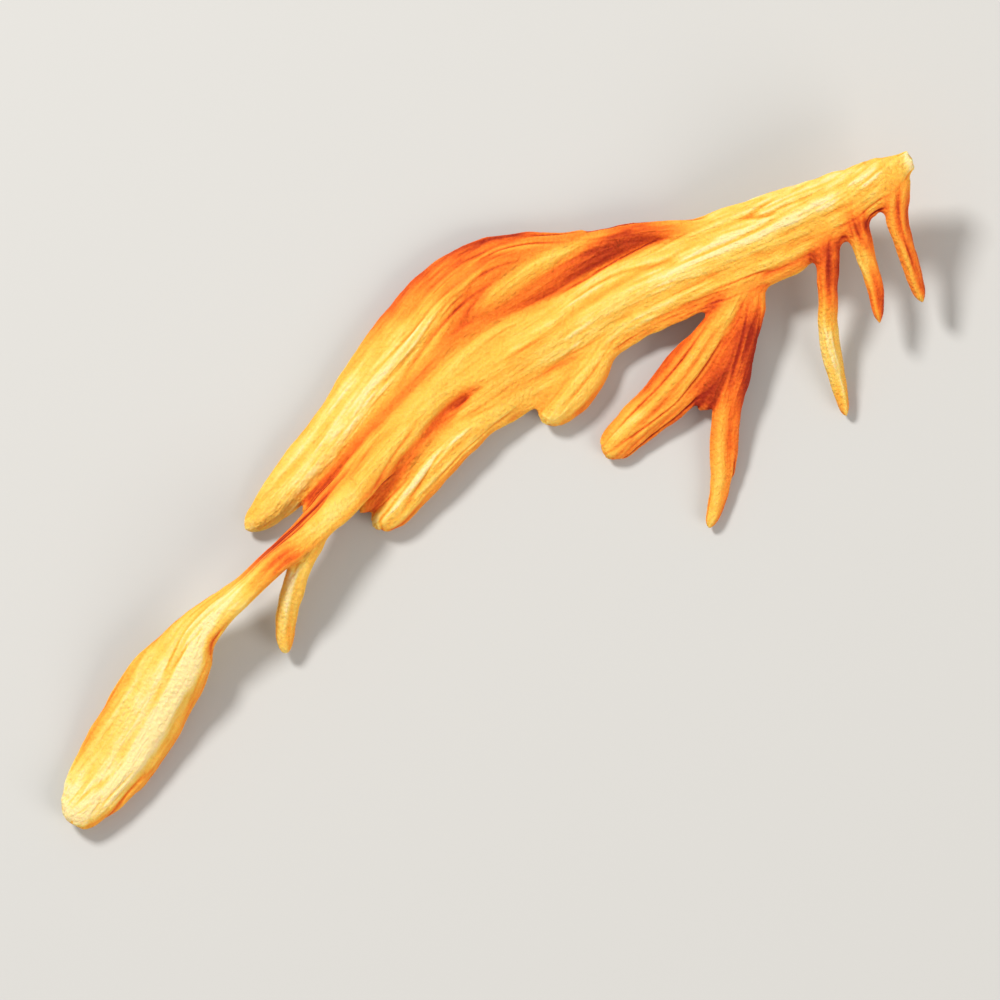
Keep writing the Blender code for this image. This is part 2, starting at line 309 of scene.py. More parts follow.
rib = {  # the blade's upper edge, which runs on into the middle finger
    "width": 2.2,
    "thickness": 1.6,
    "crest": [(0.0, -0.2), (1.0, -0.2)],
    "roof": 1.6,
    "stations": [
        (11.5, 6.0, 1.05, 0.40, 0),
        (8.6, 6.75, 1.15, 0.66, 0),
        (6.0, 7.25, 1.28, 0.84, 0),
        (3.4, 7.15, 1.45, 0.86, 0),
        (0.6, 6.75, 1.60, 0.76, 0),
        (-2.2, 6.3, 1.72, 0.56, 0),
        (-4.5, 5.8, 1.90, 0.28, 0),
    ],
    "folds": [(1, 0.30, 0.80, 0.30, 0.20, 0.14, 0.20), (-1, 0.1, 0.8, 0.0, 0.2, 0.3, 0.22)],
    "bands": [(0.3, 0.9, -0.4, -0.4, 0.4, 0.08), (0.3, 1.0, 0.95, 0.9, 0.45, -0.10)],
    "tones": [(0.0, 0.66), (0.4, 0.68), (1.0, 0.72)],
    "camber": 0.0,
    "curl": 0.06,
    "wander": (0.06, 0.08, 6),
    "wrinkles": 0.7,
}
lower = {
    "width": 3.0,
    "thickness": 1.8,
    "crest": [(0.0, 0.1), (1.0, 0.05)],
    "roof": 1.85,
    "stations": [
        (9.4, 3.9, 1.00, 0.40, 0),
        (5.8, 3.5, 1.15, 0.66, 0),
        (2.9, 3.35, 1.30, 0.78, 0),
        (0.6, 3.3, 1.32, 0.86, 0),
        (-1.6, 3.05, 1.25, 0.95, 0),
        (-3.6, 2.6, 1.12, 0.92, 0),
        (-5.2, 2.3, 1.00, 0.82, 0),
        (-6.3, 2.25, 0.95, 0.60, 0),
        (-6.9, 2.25, 0.94, 0.32, 0),
    ],
    "folds": [
        (1, 0.38, 0.92, -0.20, -0.34, 0.20, 0.16),
        (1, 0.50, 0.96, 0.50, 0.46, 0.14, 0.16),
        (-1, 0.1, 0.80, 0.0, 0.20, 0.35, 0.22),
    ],
    "bands": [(0.45, 1.0, 0.15, 0.10, 0.4, 0.06), (0.4, 1.0, -0.98, -0.98, 0.26, -0.26)],
    "tones": [(0.0, 0.62), (0.5, 0.64), (0.8, 0.66), (1.0, 0.50)],
    "camber": -0.04,
    "curl": 0.12,
    "wander": (0.07, 0.08, 5),
    "wrinkles": 0.75,
}
lobe = {
    "width": 3.0,
    "thickness": 1.8,
    "crest": [(0.0, 0.0), (1.0, -0.1)],
    "roof": 1.75,
    "stations": [
        (14.2, 3.9, 0.80, 0.30, 0),
        (12.2, 2.95, 0.90, 0.62, 0),
        (10.6, 2.2, 0.98, 0.86, 0),
        (8.8, 1.6, 1.00, 0.96, 0),
        (7.2, 1.25, 0.96, 0.90, 0),
        (6.0, 1.0, 0.90, 0.68, 0),
        (5.4, 0.85, 0.86, 0.38, 0),
    ],
    "folds": [(1, 0.45, 0.98, 0.42, 0.30, 0.14, 0.16), (1, 0.4, 0.9, -0.3, -0.2, 0.10, 0.14)],
    "bands": [(0.3, 1.0, 0.0, 0.0, 0.5, 0.05), (0.3, 1.0, -0.95, -0.95, 0.26, -0.22)],
    "tones": [(0.0, 0.66), (0.5, 0.60), (0.9, 0.60), (1.0, 0.44)],
    "camber": -0.06,
    "curl": 0.10,
    "wander": (0.07, 0.06, 5),
    "wrinkles": 0.75,
}
prong = {
    "width": 3.4,
    "thickness": 1.6,
    "crest": [(0.0, 0.25), (1.0, 0.15)],
    "roof": 1.6,
    "stations": [
        (22.6, 1.0, 2.90, 0.46, 0),
        (20.5, 0.0, 2.45, 0.59, 0),
        (18.8, -0.8, 2.12, 0.71, 0),
        (17.0, -1.45, 1.78, 0.84, 0),
        (15.0, -2.1, 1.45, 0.98, 0),
        (13.0, -2.5, 1.14, 0.94, 0),
        (11.3, -2.65, 0.94, 0.83, 0),
        (9.6, -2.8, 0.74, 0.78, 0),
        (8.3, -2.95, 0.66, 0.68, 0),
        (7.6, -3.1, 0.62, 0.50, 0),
        (7.25, -3.2, 0.62, 0.26, 0),
    ],
    "folds": [
        (1, 0.10, 0.66, -0.40, -0.50, 0.30, 0.15),
        (1, 0.25, 0.92, 0.02, -0.05, 0.18, 0.14),
        (1, 0.40, 0.90, 0.55, 0.50, 0.14, 0.12),
        (-1, 0.1, 0.9, 0.1, -0.1, 0.40, 0.22),
    ],
    "bands": [
        (0.12, 0.75, 0.20, 0.20, 0.35, 0.08),
        (0.76, 0.95, 0.42, 0.40, 0.24, 0.22),
        (0.16, 0.80, 0.90, 0.95, 0.32, -0.20),
        (0.10, 0.66, -0.70, -0.80, 0.30, -0.16),
        (0.40, 1.00, -0.98, -0.98, 0.20, -0.16),
    ],
    "tones": [(0.0, 0.52), (0.5, 0.38), (0.85, 0.40), (1.0, 0.30)],
    "camber": -0.04,
    "curl": 0.14,
    "wander": (0.07, 0.08, 6),
    "wrinkles": 0.8,
}


def web(stations, tones, width):
    # A low skin between two strands
    return {
        "width": width,
        "thickness": 1.2,
        "crest": [(0.0, 0.0), (1.0, 0.0)],
        "roof": 2.0,
        "stations": stations,
        "folds": [],
        "bands": [],
        "tones": tones,
        "camber": 0.0,
        "curl": 0.0,
        "wander": (0.0, 0.0, 0),
        "wrinkles": 0.35,
    }


# The webs' low, red tones are painted shade down in the gaps and forks between strands
webs = [
    web(  # between the prong and the side shoot
        [
            (21.0, -0.7, 2.35, 0.50, 0),
            (18.6, -2.3, 1.92, 0.80, 0),
            (16.6, -3.2, 1.58, 1.00, 0),
            (15.0, -3.9, 1.20, 1.00, 0),
            (14.2, -4.2, 0.95, 0.80, 0),
            (13.6, -4.4, 0.75, 0.30, 0),
        ],
        [(0.0, 0.50), (0.3, 0.22), (0.7, 0.04), (1.0, 0.0)],
        1.8,
    ),
    web(  # from the trunk along the upper club's inner edge: a red floor under the gap there, painted as shade
        [
            (20.8, 4.5, 2.30, 0.40, 0),
            (18.5, 5.9, 1.80, 0.75, 0),
            (16.2, 6.75, 1.40, 1.00, 0),
            (13.6, 7.35, 1.20, 1.00, 0),
            (11.0, 7.7, 1.15, 1.00, 0),
            (8.4, 8.05, 1.20, 1.00, 0),
            (6.0, 8.4, 1.30, 1.00, 0),
            (3.6, 8.35, 1.35, 1.00, 0),
            (1.2, 8.0, 1.35, 1.00, 0),
            (-1.2, 7.55, 1.35, 0.90, 0),
            (-3.6, 6.9, 1.32, 0.82, 0),
            (-6.0, 6.2, 1.34, 0.76, 0),
            (-8.2, 5.8, 1.38, 0.74, 0),
            (-9.1, 5.7, 1.36, 0.60, 0),
            (-9.8, 5.6, 1.32, 0.28, 0),
        ],
        [
            (0.0, 0.40),
            (0.08, 0.02),
            (0.24, 0.0),
            (0.36, 0.22),
            (0.6, 0.40),
            (0.85, 0.30),
            (1.0, 0.06),
        ],
        1.6,
    ),
    web(  # between the inner strand and the upper club
        [
            (14.5, 8.75, 1.45, 0.60, 0),
            (12.6, 9.35, 1.35, 0.90, 0),
            (10.6, 9.9, 1.42, 1.00, 0),
            (8.6, 10.1, 1.46, 1.05, 0),
            (6.6, 9.75, 1.30, 1.00, 0),
            (5.0, 9.25, 1.30, 0.90, 0),
            (3.6, 8.8, 1.30, 0.60, 0),
        ],
        [(0.0, 0.30), (0.5, 0.34), (1.0, 0.44)],
        1.4,
    ),
    web(  # between the middle and the lower finger
        [
            (2.6, 4.75, 1.15, 0.60, 0),
            (0.8, 4.75, 1.25, 0.90, 0),
            (-1.0, 4.6, 1.35, 1.00, 0),
            (-3.0, 4.3, 1.42, 1.00, 0),
            (-5.0, 3.85, 1.42, 1.00, 0),
            (-6.3, 3.55, 1.36, 0.80, 0),
            (-7.0, 3.4, 1.30, 0.28, 0),
        ],
        [(0.0, 0.36), (0.4, 0.32), (0.8, 0.20), (1.0, 0.04)],
        1.4,
    ),
]


def shoot(stations, tones, width=1.4):
    # A thin, crooked strand
    return {
        "width": width,
        "thickness": 1.15,
        "crest": [(0.0, -0.2), (0.5, 0.25), (1.0, 0.0)],
        "roof": 1.7,
        "stations": stations,
        "folds": [
            (1, 0.05, 0.60, -0.35, 0.30, 0.28, 0.26),
            (1, 0.45, 0.95, -0.25, -0.40, 0.24, 0.26),
            (-1, 0.1, 0.9, 0.3, -0.2, 0.30, 0.35),
        ],
        # A painted highlight along the top and painted shade along one edge
        "bands": [(0.2, 1.0, 0.3, 0.1, 0.5, 0.12), (0.1, 1.0, -0.95, -0.95, 0.35, -0.20)],
        "tones": tones,
        "camber": 0.0,
        "curl": 0.06,
        "wander": (0.18, 0.22, 34),
        "wrinkles": 0.9,
    }


sideShoot = shoot(
    [
        (21.7, 0.5, 2.60, 0.90, 0),
        (20.0, -1.6, 2.22, 0.86, 0),
        (17.9, -3.3, 1.92, 0.87, 0),
        (15.7, -4.8, 1.55, 0.97, 0),
        (13.9, -6.6, 1.12, 1.00, 0),
        (12.3, -8.4, 0.80, 0.86, 0),
        (10.7, -9.8, 0.64, 0.62, 0),
        (9.5, -10.6, 0.56, 0.28, 0),
    ],
    # Its dip to red a third of the way along is painted shade
    [
        (0.0, 0.50),
        (0.12, 0.30),
        (0.24, -0.08),
        (0.40, -0.02),
        (0.54, 0.24),
        (0.8, 0.42),
        (1.0, 0.28),
    ],
    width=1.8,
)
baseShoots = [  # the last hangs from the cut end
    shoot(
        [
            (27.0, 0.5, 3.95, 1.70, 0),
            (25.9, -1.5, 3.70, 1.25, 0),
            (24.3, -3.5, 3.00, 0.97, 0),
            (23.0, -5.4, 2.10, 1.00, 0),
            (21.9, -7.7, 1.25, 0.86, 0),
            (21.0, -9.4, 0.75, 0.56, 0),
            (20.6, -10.3, 0.58, 0.22, 0),
        ],
        [
            (0.0, 0.46),
            (0.16, 0.03),
            (0.34, 0.10),
            (0.45, 0.36),
            (0.57, 0.70),
            (0.80, 0.64),
            (1.0, 0.18),
        ],
    ),
    shoot(
        [
            (29.0, 0.5, 4.65, 1.90, 0),
            (28.1, -1.3, 4.35, 1.30, 0),
            (27.4, -3.3, 3.75, 0.90, 0),
            (26.8, -4.9, 3.30, 0.84, 0),
            (26.1, -6.2, 3.05, 0.55, 0),
            (25.7, -7.0, 2.95, 0.22, 0),
        ],
        [
            (0.0, 0.50),
            (0.22, 0.04),
            (0.36, 0.30),
            (0.5, 0.56),
            (0.64, 0.32),
            (0.8, 0.12),
            (1.0, 0.04),
        ],
    ),
    shoot(
        [
            (32.4, 0.3, 5.45, 1.30, 0),
            (31.55, -1.1, 5.14, 1.40, 0),
            (30.4, -2.9, 4.55, 1.06, 0),
            (29.5, -5.1, 3.65, 0.86, 0),
            (28.85, -6.8, 2.98, 0.62, 0),
            (28.6, -7.6, 2.70, 0.26, 0),
        ],
        [(0.0, 0.60), (0.18, 0.44), (0.32, 0.28), (0.5, 0.28), (0.8, 0.28), (1.0, 0.18)],
    ),
]
twig = shoot(
    [
        (-6.4, 5.05, 2.70, 0.90, 0),
        (-9.0, 4.25, 3.15, 1.12, 0),
        (-11.7, 3.0, 3.10, 1.16, 0),
        (-13.8, 1.6, 2.20, 1.08, 0),
        (-15.2, 0.15, 1.35, 0.86, 0),
        (-15.9, -0.75, 0.95, 0.46, 0),
    ],
    [(0.0, 0.70), (0.2, 0.82), (0.5, 0.74), (0.8, 0.66), (1.0, 0.40)],
)
strands = [
    trunk,
    middle,
    upper,
    inner,
    rib,
    lower,
    lobe,
    prong,
    sideShoot,
    *baseShoots,
    twig,
    *webs,
]


def between(before, here, there, after, share):
    # Catmull-Rom, as the frame's solids are drawn
    bend = 2 * before - 5 * here + 4 * there - after
    swing = 3 * here - before - 3 * there + after
    return here + 0.5 * share * (there - before + share * (bend + share * swing))


def wave(places, seed):
    # A smooth random line from -1 to 1
    first, second = body["waveSeeds"]
    return np.array([noise.noise((p, seed * first, seed * second)) for p in places])


def stray(kind, travel, seed, amount=1):
    rate, most, ownSeed = strays[kind]
    return most * amount * wave(travel * rate, seed + ownSeed)


def smoothStep(low, high, values):
    share = np.clip((values - low) / (high - low), 0, 1)
    return share * share * (3 - 2 * share)


def stretch(share, start, end, fade):
    # How far along a fold or band each share lies, and how fully it shows there. One that ends
    # at the strand's own end doesn't fade out.
    along = np.clip((share - start) / (end - start), 0, 1)
    fadedIn, fadesOut = fade
    shown = smoothStep(0, fadedIn, along) * (1 - smoothStep(fadesOut, 1, along) * (end < 1))
    return along, shown


def unitRows(rows):
    return rows / np.linalg.norm(rows, axis=1, keepdims=True)


def trace(strand, seed):
    # Closely set rings along a strand, and the directions across each
    stations = strand["stations"]
    last = len(stations) - 1
    rows = []
    for i in range(last):
        four = [stations[min(max(k, 0), last)] for k in range(i - 1, i + 3)]
        length = math.dist(four[1][:3], four[2][:3])
        steps = max(1, round(length / body["ringSpacing"]))
        for step in range(steps + (i == last - 1)):
            rows.append([between(*values, step / steps) for values in zip(*four)])
    rows = np.array(rows)
    centre = rows[:, :3] - (*body["planMiddle"], 0)
    strides = np.linalg.norm(np.diff(centre, axis=0), axis=1)
    travel = np.concatenate([[0], np.cumsum(strides)])
    ahead = unitRows(np.gradient(centre, axis=0))
    level = unitRows(np.cross(ahead, (0, 0, 1)))
    lift = np.cross(level, ahead)
    sway, twist = strand["wander"][1:]
    turn = np.radians(rows[:, 4] + stray("twist", travel, seed, twist))[:, None]
    across = level * np.cos(turn) - lift * np.sin(turn)
    up = lift * np.cos(turn) + level * np.sin(turn)
    settled = np.clip(rows[:, 3], 0, 1)[:, None] * sway
    toTip = np.clip((travel[-1] - travel) / body["tipRounding"], 0, 1)
    tip = np.sqrt(np.maximum(1 - (1 - toTip) ** 2, body["tipLeast"]))
    centre = centre + across * stray("route", travel, seed)[:, None] * settled
    return {
        "centre": centre,
        "ahead": ahead,
        "across": across,
        "up": up,
        "halfWidth": strand["width"] / 2 * rows[:, 3] * tip,
        "halfThickness": strand["thickness"] / 2 * rows[:, 3] ** body["thinning"] * tip,
        "travel": travel,
        "share": travel / travel[-1],
    }


def ringPoints(strand, path, seed):
    # Every ring's points: a blunt lens with its folds pressed in and its edges curled
    angles = np.linspace(0, 2 * math.pi, body["ringSides"], endpoint=False)
    cosine, sine = np.cos(angles), np.sin(angles)
    place = np.sign(cosine) * np.abs(cosine) ** body["bluntness"]
    travel = path["travel"]
    share = path["share"][:, None]
    crest = np.interp(path["share"], *zip(*strand["crest"]))[:, None]
    crest = crest + stray("crest", travel, seed)[:, None]
    toEdge = np.where(place > crest, 1 - crest, 1 + crest)
    roof = np.clip(1 - (np.abs(place - crest) / toEdge) ** strand["roof"], 0, 1)
    face = np.where(sine > 0, roof ** body["shoulder"], -np.abs(sine))
    fullness = np.ones((len(travel), len(angles)))
    for number, (side, start, end, here, there, depth, breadth) in enumerate(strand["folds"]):
        along, opens = stretch(share, start, end, body["foldFade"])
        own = seed + number * body["foldSeed"]
        centre = here + (there - here) * along + stray("fold", travel, own)[:, None]
        press = np.exp(-(((place - centre) / breadth) ** 2))
        fullness *= 1 - depth * opens * press * (side * sine > 0)
    edgeWander = strand["wander"][0]
    edges, curls = [], []
    for edgeSeed in body["edgeSeeds"]:
        slow = stray("edge", travel, seed + edgeSeed, edgeWander)
        quick = stray("edgeJag", travel, seed + edgeSeed, edgeWander)
        edges.append((1 + slow + quick)[:, None])
        curls.append(stray("curl", travel, seed + edgeSeed, strand["curl"])[:, None])
    sideways = path["halfWidth"][:, None] * place * np.where(cosine > 0, *edges)
    bow = strand["camber"] + stray("bow", travel, seed)[:, None]
    bowed = bow * (place**2 - body["bowLevel"])
    upward = path["halfThickness"][:, None] * (face * fullness + bowed)
    upward = upward + np.where(cosine > 0, *curls) * np.abs(place) ** body["curlPower"]
    rings = (
        path["centre"][:, None]
        + path["across"][:, None] * sideways[..., None]
        + path["up"][:, None] * upward[..., None]
    )
    if "fray" in strand:
        depth, rate, reach = strand["fray"]
        jags = np.array([noise.noise((c * rate, s * rate, seed)) for c, s in zip(cosine, sine)])
        nearEnd = np.clip(1 - travel / reach, 0, 1)[:, None] * depth
        rings = rings - path["ahead"][:, None] * (nearEnd * jags)[..., None]
    return rings


def loftedMesh(name, paths):
    # All strands as closed, overlapping lofts in one mesh
    points, faces = [], []
    sides = body["ringSides"]
    for path in paths:
        rings = path["rings"]
        first = len(points)
        points.extend(rings.reshape(-1, 3).tolist())
        points.extend((rings[0].mean(0).tolist(), rings[-1].mean(0).tolist()))
        last = first + (len(rings) - 1) * sides
        for k in range(sides):
            other = (k + 1) % sides
            for here in range(first, last, sides):
                faces.append((here + k, here + other, here + sides + other, here + sides + k))
            faces.append((last + sides, first + other, first + k))
            faces.append((last + sides + 1, last + k, last + other))
    lofts = bpy.data.meshes.new(name)
    lofts.from_pydata(points, [], faces)
    lofts.update()
    return lofts


paths = []
firstSeed, seedStep = body["seeds"]
for number, strand in enumerate(strands):
    seed = firstSeed + number * seedStep
    path = trace(strand, seed)
    path["rings"] = ringPoints(strand, path, seed)
    paths.append(path)
print("strands drawn:", len(paths))

skinning = {
    "cell": 0.09,  # the skin's cell while its wrinkles are raised
    "evening": 6,  # rounds of smoothing all over
    "webbing": 90,  # rounds of smoothing in the forks, which fills them a little
    "smoothing": 0.5,  # how far a point goes towards its neighbours' middle in a round
    "fork": (0.05, 0.45),  # in a fork two strands are as far out as each other, to within this
    "blend": 0.15,  # how softly one strand's looks pass into the next's
    "reach": 4,  # how far round a strand's line its points are looked for
    "thinnest": 0.15,
    "softening": 0.3,  # a last, lighter round of smoothing over the wrinkles
    "floorGap": 0.02,
    "triangles": 196000,  # what the finished skin is thinned to
}


def evaluated(thing):
    graph = bpy.context.evaluated_depsgraph_get()
    return bpy.data.meshes.new_from_object(thing.evaluated_get(graph))


def modified(mesh, kind, **settings):
    # The mesh as one modifier leaves it
    thing = bpy.data.objects.new("rough", mesh)
    bpy.context.scene.collection.objects.link(thing)
    modifier = thing.modifiers.new("shape", kind)
    for name, value in settings.items():
        setattr(modifier, name, value)
    result = evaluated(thing)
    bpy.data.objects.remove(thing)
    return result


def readPoints(mesh, what="co"):
    values = np.empty(len(mesh.vertices) * 3, np.float32)
    mesh.vertices.foreach_get(what, values)
    return values.reshape(-1, 3).astype(float)


def writePoints(mesh, points):
    mesh.vertices.foreach_set("co", points.astype(np.float32).ravel())
    mesh.update()


def edgeEnds(mesh):
    ends = np.empty(len(mesh.edges) * 2, np.int32)
    mesh.edges.foreach_get("vertices", ends)
    return ends.reshape(-1, 2)


def neighbourMean(values, ends, count):
    total = np.zeros_like(values)
    for here, there in (ends.T, ends.T[::-1]):
        for k in range(values.shape[1]):
            total[:, k] += np.bincount(here, weights=values[there, k], minlength=count)
    return total / np.maximum(np.bincount(ends.ravel(), minlength=count), 1)[:, None]


def relaxed(points, ends, rounds, strength=skinning["smoothing"]):
    for _ in range(rounds):
        points = points + strength * (neighbourMean(points, ends, len(points)) - points)
    return points


def placeOn(path, points):
    # Every point's travel, across and up on one strand in millimetres, and how far out it is:
    # 1 on the strand's own skin
    tree = kdtree.KDTree(len(path["centre"]))
    for k, centre in enumerate(path["centre"]):
        tree.insert(centre, k)
    tree.balance()
    reach = skinning["reach"]
    low, high = path["centre"].min(0) - reach, path["centre"].max(0) + reach
    inside = (points > low).all(1) & (points < high).all(1)
    nearest = np.zeros(len(points), int)
    nearest[inside] = [tree.find(p)[1] for p in points[inside]]
    offset = points - path["centre"][nearest]
    along = (offset * path["ahead"][nearest]).sum(1)
    across = (offset * path["across"][nearest]).sum(1)
    up = (offset * path["up"][nearest]).sum(1)
    halfWidth = np.maximum(path["halfWidth"][nearest], skinning["thinnest"])
    halfThickness = np.maximum(path["halfThickness"][nearest], skinning["thinnest"])
    squares = (across / halfWidth) ** 2 + (up / halfThickness) ** 2 + (along / halfThickness) ** 2
    return {
        "travel": path["travel"][nearest] + along,
        "share": path["share"][nearest],
        "across": across,
        "up": up,
        "sideways": across / halfWidth,
        "out": np.sqrt(squares),
    }


mesh = modified(loftedMesh("rough", paths), "REMESH", mode="VOXEL", voxel_size=skinning["cell"])
ends = edgeEnds(mesh)
points = relaxed(readPoints(mesh), ends, skinning["evening"])
print("skin fused:", len(mesh.vertices), "points,", len(mesh.polygons), "faces")

places = [placeOn(path, points) for path in paths]
outs = np.array([place["out"] for place in places])
nearestTwo = np.sort(outs, axis=0)[:2]
apart = nearestTwo[1] - nearestTwo[0]
nearness = np.exp(-(outs - nearestTwo[0]) / skinning["blend"])
weights = nearness / nearness.sum(0)
fork = 1 - smoothStep(*skinning["fork"], apart)
points = relaxed(points, ends, skinning["webbing"], skinning["smoothing"] * fork[:, None])
print("strands placed")

# Depths are in millimetres, and along and across are how fast each pattern changes per
# millimetre. One with a sharpness is a set of sharp valleys, which show in patches only: the
# lower their threshold, the harder the patches' edges.
relief = {
    "swell": {"depth": 0.11, "along": 0.10, "across": 0.70, "seed": 0},
    "thread": {"depth": 0.028, "along": 0.45, "across": 5.0, "seed": 1},
    "kink": {"depth": 0.080, "along": 0.60, "across": 0.30, "seed": 4},
    "lump": {"depth": 0.030, "along": 1.30, "across": 1.50, "seed": 5},
    "crease": {
        "depth": 0.140,
        "along": 0.10,
        "across": 1.10,
        "seed": 2,
        "sharpness": 0.10,
        "threshold": 0.25,
        "patchSeed": 0,
    },
    "crinkle": {
        "depth": 0.065,
        "along": 0.24,
        "across": 2.4,
        "seed": 3,
        "sharpness": 0.22,
        "threshold": 0.3,
        "patchSeed": 9,
    },
}
patches = {"along": 0.17, "across": 0.35}


def patchiness(wrinkle, spot, seed):
    # Where a valley shows: 0 to 1, in patches some millimetres long
    travel, side, up = spot
    own = seed + wrinkle["patchSeed"]
    along, across = patches["along"], patches["across"]
    value = noise.noise((travel * along + own, side * across, up * across))
    low, high = -wrinkle["threshold"], wrinkle["threshold"]
    share = min(max((value - low) / (high - low), 0), 1)
    return share * share * (3 - 2 * share)


def reliefAt(spot, seed):
    travel, side, up = spot
    height = 0.0
    for wrinkle in relief.values():
        own = seed + wrinkle["seed"]
        along, across = wrinkle["along"], wrinkle["across"]
        value = noise.noise((travel * along + own, side * across + own, up * across))
        if "sharpness" in wrinkle:
            valley = math.exp(-((value / wrinkle["sharpness"]) ** 2))
            height -= wrinkle["depth"] * valley * patchiness(wrinkle, spot, seed)
        else:
            height += wrinkle["depth"] * value
    return height


painting = {
    "seeds": (3.1, 4.7),  # the first strand's, and the step to the next one's
    "leastWeight": 0.01,  # a strand that counts for less than this leaves no wrinkles
    "fullWidth": 3.5,  # a narrower strand is less wrinkled and gets less painted shade at its edges
    "bandFade": (0.2, 0.8),  # shares of a band's length
    "bandSway": 0.10,
    "streaks": [(1.0, 0.05, 0.8), (0.7, 0.12, 2.3)],  # amount, change along and across
    "streakSeed": 5,
    "fibreSeed": 20,
    "edge": (0.70, 1.0),  # where across a strand its edge is reddened, as painted shade on the flanks
    "alone": (0.0, 0.3),  # as a fork is, but for where the fibres fade out
    "fineBump": (6, 0.03),  # rounds of smoothing that level it, and its full height; how proud the skin stands paints shade into hollows and highlights onto ridges
    "broadBump": (40, 0.12),
}


def streakAt(spot, seed):
    travel, side, up = spot
    total = 0.0
    for amount, along, across in painting["streaks"]:
        start = travel * along + seed * painting["streakSeed"]
        total += amount * noise.noise((start, side * across, up * across))
    return total


def painted(strand, path, place, seed):
    # The strand's tone at each point, with its paler and redder bands: painted highlights and
    # painted shade
    shares, values = zip(*strand["tones"])
    tone = np.interp(place["share"], shares, values)
    for number, (start, end, here, there, breadth, amount) in enumerate(strand["bands"]):
        along, shown = stretch(place["share"], start, end, painting["bandFade"])
        sway = stray("band", path["travel"], seed + number)
        sway = painting["bandSway"] * np.interp(place["share"], path["share"], sway)
        centre = here + (there - here) * along + sway
        tone += amount * shown * np.exp(-(((place["sideways"] - centre) / breadth) ** 2))
    return tone


heights, streaks, tones, edges = np.zeros((4, len(points)))
fibres = np.zeros((len(points), 3))
leading = weights.argmax(0)
firstSeed, seedStep = painting["seeds"]
for number, (strand, path, place, weight) in enumerate(zip(strands, paths, places, weights)):
    seed = firstSeed + number * seedStep
    mine = np.flatnonzero(weight > painting["leastWeight"])
    spots = np.stack([place["travel"], place["across"], place["up"]], axis=1)
    narrow = min(1.0, strand["width"] / painting["fullWidth"])
    wrinkles = strand["wrinkles"] * narrow
    for spot, k, share in zip(spots[mine].tolist(), mine, weight[mine]):
        heights[k] += share * wrinkles * reliefAt(spot, seed)
        streaks[k] += share * streakAt(spot, seed)
    tones += weight * painted(strand, path, place, seed)
    # How far out at a strand's edge each point is, for the painted shade along the edges
    edges += weight * smoothStep(*painting["edge"], np.abs(place["sideways"])) * narrow
    led = leading == number
    fibres[led] = spots[led] + (seed * painting["fibreSeed"], 0, 0)
print("wrinkles worked out")

writePoints(mesh, points)
points = points + readPoints(mesh, "normal") * heights[:, None]
points = relaxed(points, ends, 1, skinning["softening"])
points[:, 2] = np.maximum(points[:, 2], skinning["floorGap"])
writePoints(mesh, points)


def keepOnPoints(mesh, name, values):
    kind, field = ("FLOAT", "value") if values.ndim == 1 else ("FLOAT_VECTOR", "vector")
    layer = mesh.attributes.new(name, kind, "POINT")
    layer.data.foreach_set(field, values.astype(np.float32).ravel())


# How proud each point stands of its smoothed skin: the material paints shade into the hollows and
# paler highlights onto the ridges from it
normals = readPoints(mesh, "normal")
level = points
for name in ("fineBump", "broadBump"):
    rounds, fullHeight = painting[name]
    bumpy, level = level, relaxed(level, ends, rounds)
    proud = ((bumpy - level) * normals).sum(1)
    keepOnPoints(mesh, name, np.clip(proud / fullHeight, -1, 1))
keepOnPoints(mesh, "streak", streaks)
keepOnPoints(mesh, "tone", tones)
keepOnPoints(mesh, "edge", edges)
keepOnPoints(mesh, "alone", smoothStep(*painting["alone"], apart))
keepOnPoints(mesh, "fibre", fibres)

# Fewer triangles where the skin is smooth, so that the wrinkles keep theirs
kept = skinning["triangles"] / (2 * len(mesh.polygons))
mesh = modified(mesh, "DECIMATE", ratio=kept)
unit = (frameHigh.x - frameLow.x) / body["planLength"]
writePoints(mesh, readPoints(mesh) * unit)
mesh.shade_smooth()
cordyceps = bpy.data.objects.new("driedCordyceps", mesh)
bpy.context.scene.collection.objects.link(cordyceps)
print("skin finished:", len(mesh.loops) - 2 * len(mesh.polygons), "triangles")

flesh = {
    "stops": [  # from the red painted shade of the deepest furrows to the pale painted highlights of the ridges
        (0.00, (0.350, 0.019, 0.0016)),
        (0.12, (0.570, 0.060, 0.005)),
        (0.22, (0.790, 0.125, 0.009)),
        (0.33, (0.920, 0.210, 0.017)),
        (0.44, (0.955, 0.302, 0.029)),
        (0.55, (0.960, 0.397, 0.043)),
        (0.66, (0.965, 0.490, 0.064)),
        (0.78, (0.965, 0.580, 0.100)),
        (0.88, (0.965, 0.665, 0.172)),
        (1.00, (0.970, 0.745, 0.340)),
    ],
    "threads": {"along": 0.45, "across": 4.5, "tone": 0.26, "bump": 1.0},
    "streaks": {"along": 0.16, "across": 1.6, "tone": 0.18},
    "fibre": {"detail": 3.0, "rough": 0.55},
    "grain": {"scale": 6500, "detail": 3.0, "tone": 0.14},
    "blotches": {"scale": 300, "tone": 0.16},
    # What each adds to the tone: the bumps' painted shade in hollows and highlights on ridges, the
    # streaks, and the painted shade at the edges
    "painted": {"fineBump": 0.22, "broadBump": 0.30, "streak": 0.12, "edge": -0.18},
    "dimples": {"scale": 3800, "detail": 5.0, "rough": 0.6, "bump": 0.9},
    "pits": {"scale": 3600, "bump": -0.45},
    "bumpDistance": 0.00018,
    "roughness": (0.76, 0.52),  # between threads, and on them
    "threadRange": (-0.2, 0.2),
    "specular": 0.20,
    "subsurface": 0.24,
    "subsurfaceRadius": (1.0, 0.30, 0.06),
    "subsurfaceScale": 0.0005,
}


def node(tree, kind, **settings):
    made = tree.nodes.new(kind)
    for name, value in settings.items():
        setattr(made, name, value)
    return made


